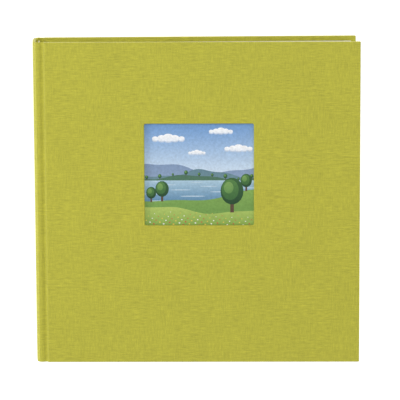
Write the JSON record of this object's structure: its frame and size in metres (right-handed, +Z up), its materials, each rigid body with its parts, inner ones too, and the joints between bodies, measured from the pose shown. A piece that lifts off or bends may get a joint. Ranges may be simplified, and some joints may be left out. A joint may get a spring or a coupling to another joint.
{
  "type": "scrapbook album",
  "caption": "Square case-bound scrapbook album in green book linen, with a recessed picture window, white card leaves with glassine interleaves, and covers that open flat.",
  "frame": {"origin": "under the middle of the closed album, on the face it rests on", "axes": "+X from the spine to the fore-edge, +Y from tail to head, +Z up through the front cover"},
  "size_m": [0.3083, 0.31, 0.0374],
  "materials": {
    "linen": "book linen, fine even weave with slubs",
    "greyboard": "raw greyboard",
    "endpaper": "smooth white endpaper",
    "leaf_card": "matt white photo card",
    "glassine": "translucent glassine with a faint embossed web",
    "picture": "semi-gloss colour print",
    "backing_card": "white-lined card",
    "mull": "open starched gauze",
    "lining": "brown kraft paper",
    "bands": "corded cotton band with light green stripes",
    "thread": "waxed linen thread"
  },
  "bodies": {
    "back_cover": {"back_board": "greyboard", "back_cloth": "linen", "back_pastedown": "endpaper"},
    "spine": {"spine_board": "greyboard", "spine_cloth": "linen", "spine_mull": "mull", "spine_lining": "lining", "head_band": "bands", "tail_band": "bands", "leaf_stubs": "leaf_card", "guard_strips": "leaf_card", "sewing_thread": "thread"},
    "front_cover": {"front_board": "greyboard", "front_cloth": "linen", "window_picture": "picture", "picture_backing": "backing_card", "front_pastedown": "endpaper"},
    "back_flyleaf": {"back_flyleaf": "endpaper"},
    "front_flyleaf": {"front_flyleaf": "endpaper"},
    "leaf_01": {"leaf_01": "leaf_card", "glassine_01": "glassine"},
    "leaf_02": {"leaf_02": "leaf_card", "glassine_02": "glassine"},
    "leaf_03": {"leaf_03": "leaf_card", "glassine_03": "glassine"},
    "leaf_04": {"leaf_04": "leaf_card", "glassine_04": "glassine"},
    "leaf_05": {"leaf_05": "leaf_card", "glassine_05": "glassine"},
    "leaf_06": {"leaf_06": "leaf_card", "glassine_06": "glassine"},
    "leaf_07": {"leaf_07": "leaf_card", "glassine_07": "glassine"},
    "leaf_08": {"leaf_08": "leaf_card", "glassine_08": "glassine"},
    "leaf_09": {"leaf_09": "leaf_card", "glassine_09": "glassine"},
    "leaf_10": {"leaf_10": "leaf_card", "glassine_10": "glassine"},
    "leaf_11": {"leaf_11": "leaf_card", "glassine_11": "glassine"},
    "leaf_12": {"leaf_12": "leaf_card", "glassine_12": "glassine"},
    "leaf_13": {"leaf_13": "leaf_card", "glassine_13": "glassine"},
    "leaf_14": {"leaf_14": "leaf_card", "glassine_14": "glassine"},
    "leaf_15": {"leaf_15": "leaf_card", "glassine_15": "glassine"},
    "leaf_16": {"leaf_16": "leaf_card", "glassine_16": "glassine"},
    "leaf_17": {"leaf_17": "leaf_card", "glassine_17": "glassine"},
    "leaf_18": {"leaf_18": "leaf_card", "glassine_18": "glassine"},
    "leaf_19": {"leaf_19": "leaf_card", "glassine_19": "glassine"},
    "leaf_20": {"leaf_20": "leaf_card", "glassine_20": "glassine"}
  },
  "joints": [
    {"name": "back_joint", "type": "hinge", "parent": "back_cover", "child": "spine", "pos_m": [-0.15025, 0, 0.004], "axis": [0, -1, 0], "range_deg": [0, 90]},
    {"name": "front_joint", "type": "hinge", "parent": "spine", "child": "front_cover", "pos_m": [-0.15025, 0, 0.026], "axis": [0, -1, 0], "range_deg": [0, 88.61]},
    {"name": "back_flyleaf_turn", "type": "hinge", "parent": "spine", "child": "back_flyleaf", "pos_m": [-0.14635, 0, 0.00407], "axis": [0, -1, 0], "range_deg": [-90.71, 0]},
    {"name": "front_flyleaf_turn", "type": "hinge", "parent": "spine", "child": "front_flyleaf", "pos_m": [-0.14635, 0, 0.02593], "axis": [0, -1, 0], "range_deg": [0, 89.31]},
    {"name": "leaf_turn_01", "type": "hinge", "parent": "spine", "child": "leaf_01", "pos_m": [-0.14528, 0, 0.00488], "axis": [0, -1, 0], "range_deg": [-90.76, 0]},
    {"name": "leaf_turn_02", "type": "hinge", "parent": "spine", "child": "leaf_02", "pos_m": [-0.14422, 0, 0.00595], "axis": [0, -1, 0], "range_deg": [-90.83, 0]},
    {"name": "leaf_turn_03", "type": "hinge", "parent": "spine", "child": "leaf_03", "pos_m": [-0.14316, 0, 0.00701], "axis": [0, -1, 0], "range_deg": [-90.9, 0]},
    {"name": "leaf_turn_04", "type": "hinge", "parent": "spine", "child": "leaf_04", "pos_m": [-0.14209, 0, 0.00808], "axis": [0, -1, 0], "range_deg": [-90.97, 0]},
    {"name": "leaf_turn_05", "type": "hinge", "parent": "spine", "child": "leaf_05", "pos_m": [-0.14103, 0, 0.00914], "axis": [0, -1, 0], "range_deg": [-91.03, 0]},
    {"name": "leaf_turn_06", "type": "hinge", "parent": "spine", "child": "leaf_06", "pos_m": [-0.13996, 0, 0.01021], "axis": [0, -1, 0], "range_deg": [-91.1, 0]},
    {"name": "leaf_turn_07", "type": "hinge", "parent": "spine", "child": "leaf_07", "pos_m": [-0.13889, 0, 0.01127], "axis": [0, -1, 0], "range_deg": [-91.17, 0]},
    {"name": "leaf_turn_08", "type": "hinge", "parent": "spine", "child": "leaf_08", "pos_m": [-0.13783, 0, 0.01234], "axis": [0, -1, 0], "range_deg": [-91.24, 0]},
    {"name": "leaf_turn_09", "type": "hinge", "parent": "spine", "child": "leaf_09", "pos_m": [-0.13676, 0, 0.0134], "axis": [0, -1, 0], "range_deg": [-91.31, 0]},
    {"name": "leaf_turn_10", "type": "hinge", "parent": "spine", "child": "leaf_10", "pos_m": [-0.1357, 0, 0.01447], "axis": [0, -1, 0], "range_deg": [-91.38, 0]},
    {"name": "leaf_turn_11", "type": "hinge", "parent": "spine", "child": "leaf_11", "pos_m": [-0.1357, 0, 0.01553], "axis": [0, -1, 0], "range_deg": [0, 89.98]},
    {"name": "leaf_turn_12", "type": "hinge", "parent": "spine", "child": "leaf_12", "pos_m": [-0.13676, 0, 0.0166], "axis": [0, -1, 0], "range_deg": [0, 89.91]},
    {"name": "leaf_turn_13", "type": "hinge", "parent": "spine", "child": "leaf_13", "pos_m": [-0.13783, 0, 0.01766], "axis": [0, -1, 0], "range_deg": [0, 89.84]},
    {"name": "leaf_turn_14", "type": "hinge", "parent": "spine", "child": "leaf_14", "pos_m": [-0.13889, 0, 0.01873], "axis": [0, -1, 0], "range_deg": [0, 89.77]},
    {"name": "leaf_turn_15", "type": "hinge", "parent": "spine", "child": "leaf_15", "pos_m": [-0.13996, 0, 0.01979], "axis": [0, -1, 0], "range_deg": [0, 89.7]},
    {"name": "leaf_turn_16", "type": "hinge", "parent": "spine", "child": "leaf_16", "pos_m": [-0.14103, 0, 0.02086], "axis": [0, -1, 0], "range_deg": [0, 89.63]},
    {"name": "leaf_turn_17", "type": "hinge", "parent": "spine", "child": "leaf_17", "pos_m": [-0.14209, 0, 0.02192], "axis": [0, -1, 0], "range_deg": [0, 89.57]},
    {"name": "leaf_turn_18", "type": "hinge", "parent": "spine", "child": "leaf_18", "pos_m": [-0.14316, 0, 0.02299], "axis": [0, -1, 0], "range_deg": [0, 89.5]},
    {"name": "leaf_turn_19", "type": "hinge", "parent": "spine", "child": "leaf_19", "pos_m": [-0.14422, 0, 0.02405], "axis": [0, -1, 0], "range_deg": [0, 89.43]},
    {"name": "leaf_turn_20", "type": "hinge", "parent": "spine", "child": "leaf_20", "pos_m": [-0.14528, 0, 0.02512], "axis": [0, -1, 0], "range_deg": [0, 89.36]}
  ],
  "couplings": [
    {"joint": "front_joint", "follows": "back_joint", "ratio": 0.98444},
    {"joint": "back_flyleaf_turn", "follows": "back_joint", "ratio": -1.0078},
    {"joint": "front_flyleaf_turn", "follows": "back_joint", "ratio": 0.99222},
    {"joint": "leaf_turn_01", "follows": "back_joint", "ratio": -1.0084},
    {"joint": "leaf_turn_02", "follows": "back_joint", "ratio": -1.0091},
    {"joint": "leaf_turn_03", "follows": "back_joint", "ratio": -1.0099},
    {"joint": "leaf_turn_04", "follows": "back_joint", "ratio": -1.0106},
    {"joint": "leaf_turn_05", "follows": "back_joint", "ratio": -1.0114},
    {"joint": "leaf_turn_06", "follows": "back_joint", "ratio": -1.0121},
    {"joint": "leaf_turn_07", "follows": "back_joint", "ratio": -1.0129},
    {"joint": "leaf_turn_08", "follows": "back_joint", "ratio": -1.0137},
    {"joint": "leaf_turn_09", "follows": "back_joint", "ratio": -1.0144},
    {"joint": "leaf_turn_10", "follows": "back_joint", "ratio": -1.0152},
    {"joint": "leaf_turn_11", "follows": "back_joint", "ratio": 0.99962},
    {"joint": "leaf_turn_12", "follows": "back_joint", "ratio": 0.99886},
    {"joint": "leaf_turn_13", "follows": "back_joint", "ratio": 0.99811},
    {"joint": "leaf_turn_14", "follows": "back_joint", "ratio": 0.99735},
    {"joint": "leaf_turn_15", "follows": "back_joint", "ratio": 0.99659},
    {"joint": "leaf_turn_16", "follows": "back_joint", "ratio": 0.99583},
    {"joint": "leaf_turn_17", "follows": "back_joint", "ratio": 0.99507},
    {"joint": "leaf_turn_18", "follows": "back_joint", "ratio": 0.99431},
    {"joint": "leaf_turn_19", "follows": "back_joint", "ratio": 0.99355},
    {"joint": "leaf_turn_20", "follows": "back_joint", "ratio": 0.9928}
  ]
}
